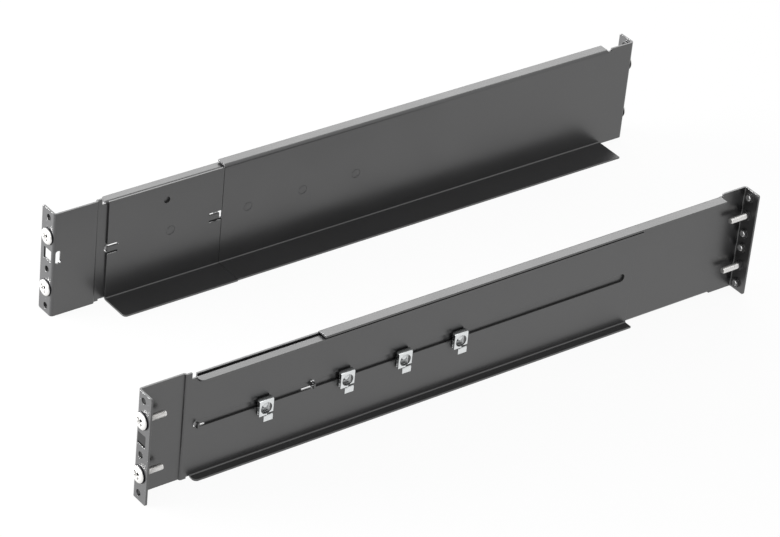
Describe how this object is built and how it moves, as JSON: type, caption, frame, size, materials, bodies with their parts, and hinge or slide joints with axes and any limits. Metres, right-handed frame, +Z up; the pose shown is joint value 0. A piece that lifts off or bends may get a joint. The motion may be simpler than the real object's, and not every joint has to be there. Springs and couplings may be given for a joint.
{
  "type": "ups rack rail kit",
  "caption": "Pair of telescopic shelf rails with flanged ends, sliding along a clamped slot to span the posts of an equipment rack.",
  "frame": {"origin": "on the floor, in the middle of the pair's outline", "axes": "+X along the rails to the rear, +Y towards the left rail, +Z up"},
  "size_m": [0.6156, 0.245, 0.0884],
  "materials": {
    "powder_coat": "satin black powder coat",
    "zinc_plate": "bright zinc plate",
    "screw_steel": "bright nickel plate",
    "black_washer": "black oxide"
  },
  "bodies": {
    "front_brackets": {"left_front_bracket": "powder_coat", "left_front_shelf_plate": "powder_coat", "left_front_shelf_stud": "zinc_plate", "left_front_clamp_cage": "zinc_plate", "left_front_clamp_nut": "zinc_plate", "left_front_flange_screws": "screw_steel", "left_front_flange_washers": "black_washer", "right_front_bracket": "powder_coat", "right_front_shelf_plate": "powder_coat", "right_front_shelf_stud": "zinc_plate", "right_front_clamp_cage": "zinc_plate", "right_front_clamp_nut": "zinc_plate", "right_front_flange_screws": "screw_steel", "right_front_flange_washers": "black_washer"},
    "left_rear": {"left_rear_bracket": "powder_coat", "left_rear_bracket_studs": "zinc_plate", "left_rear_clamp_cages": "zinc_plate", "left_rear_clamp_nuts": "zinc_plate", "left_rear_flange_screws": "screw_steel", "left_rear_flange_washers": "black_washer"},
    "right_rear": {"right_rear_bracket": "powder_coat", "right_rear_bracket_studs": "zinc_plate", "right_rear_clamp_cages": "zinc_plate", "right_rear_clamp_nuts": "zinc_plate", "right_rear_flange_screws": "screw_steel", "right_rear_flange_washers": "black_washer"}
  },
  "joints": [
    {"name": "left_rear_slide", "type": "slide", "parent": "front_brackets", "child": "left_rear", "axis": [1, 0, 0], "range_m": [0, 0.153]},
    {"name": "right_rear_slide", "type": "slide", "parent": "front_brackets", "child": "right_rear", "axis": [1, 0, 0], "range_m": [0, 0.153]}
  ]
}
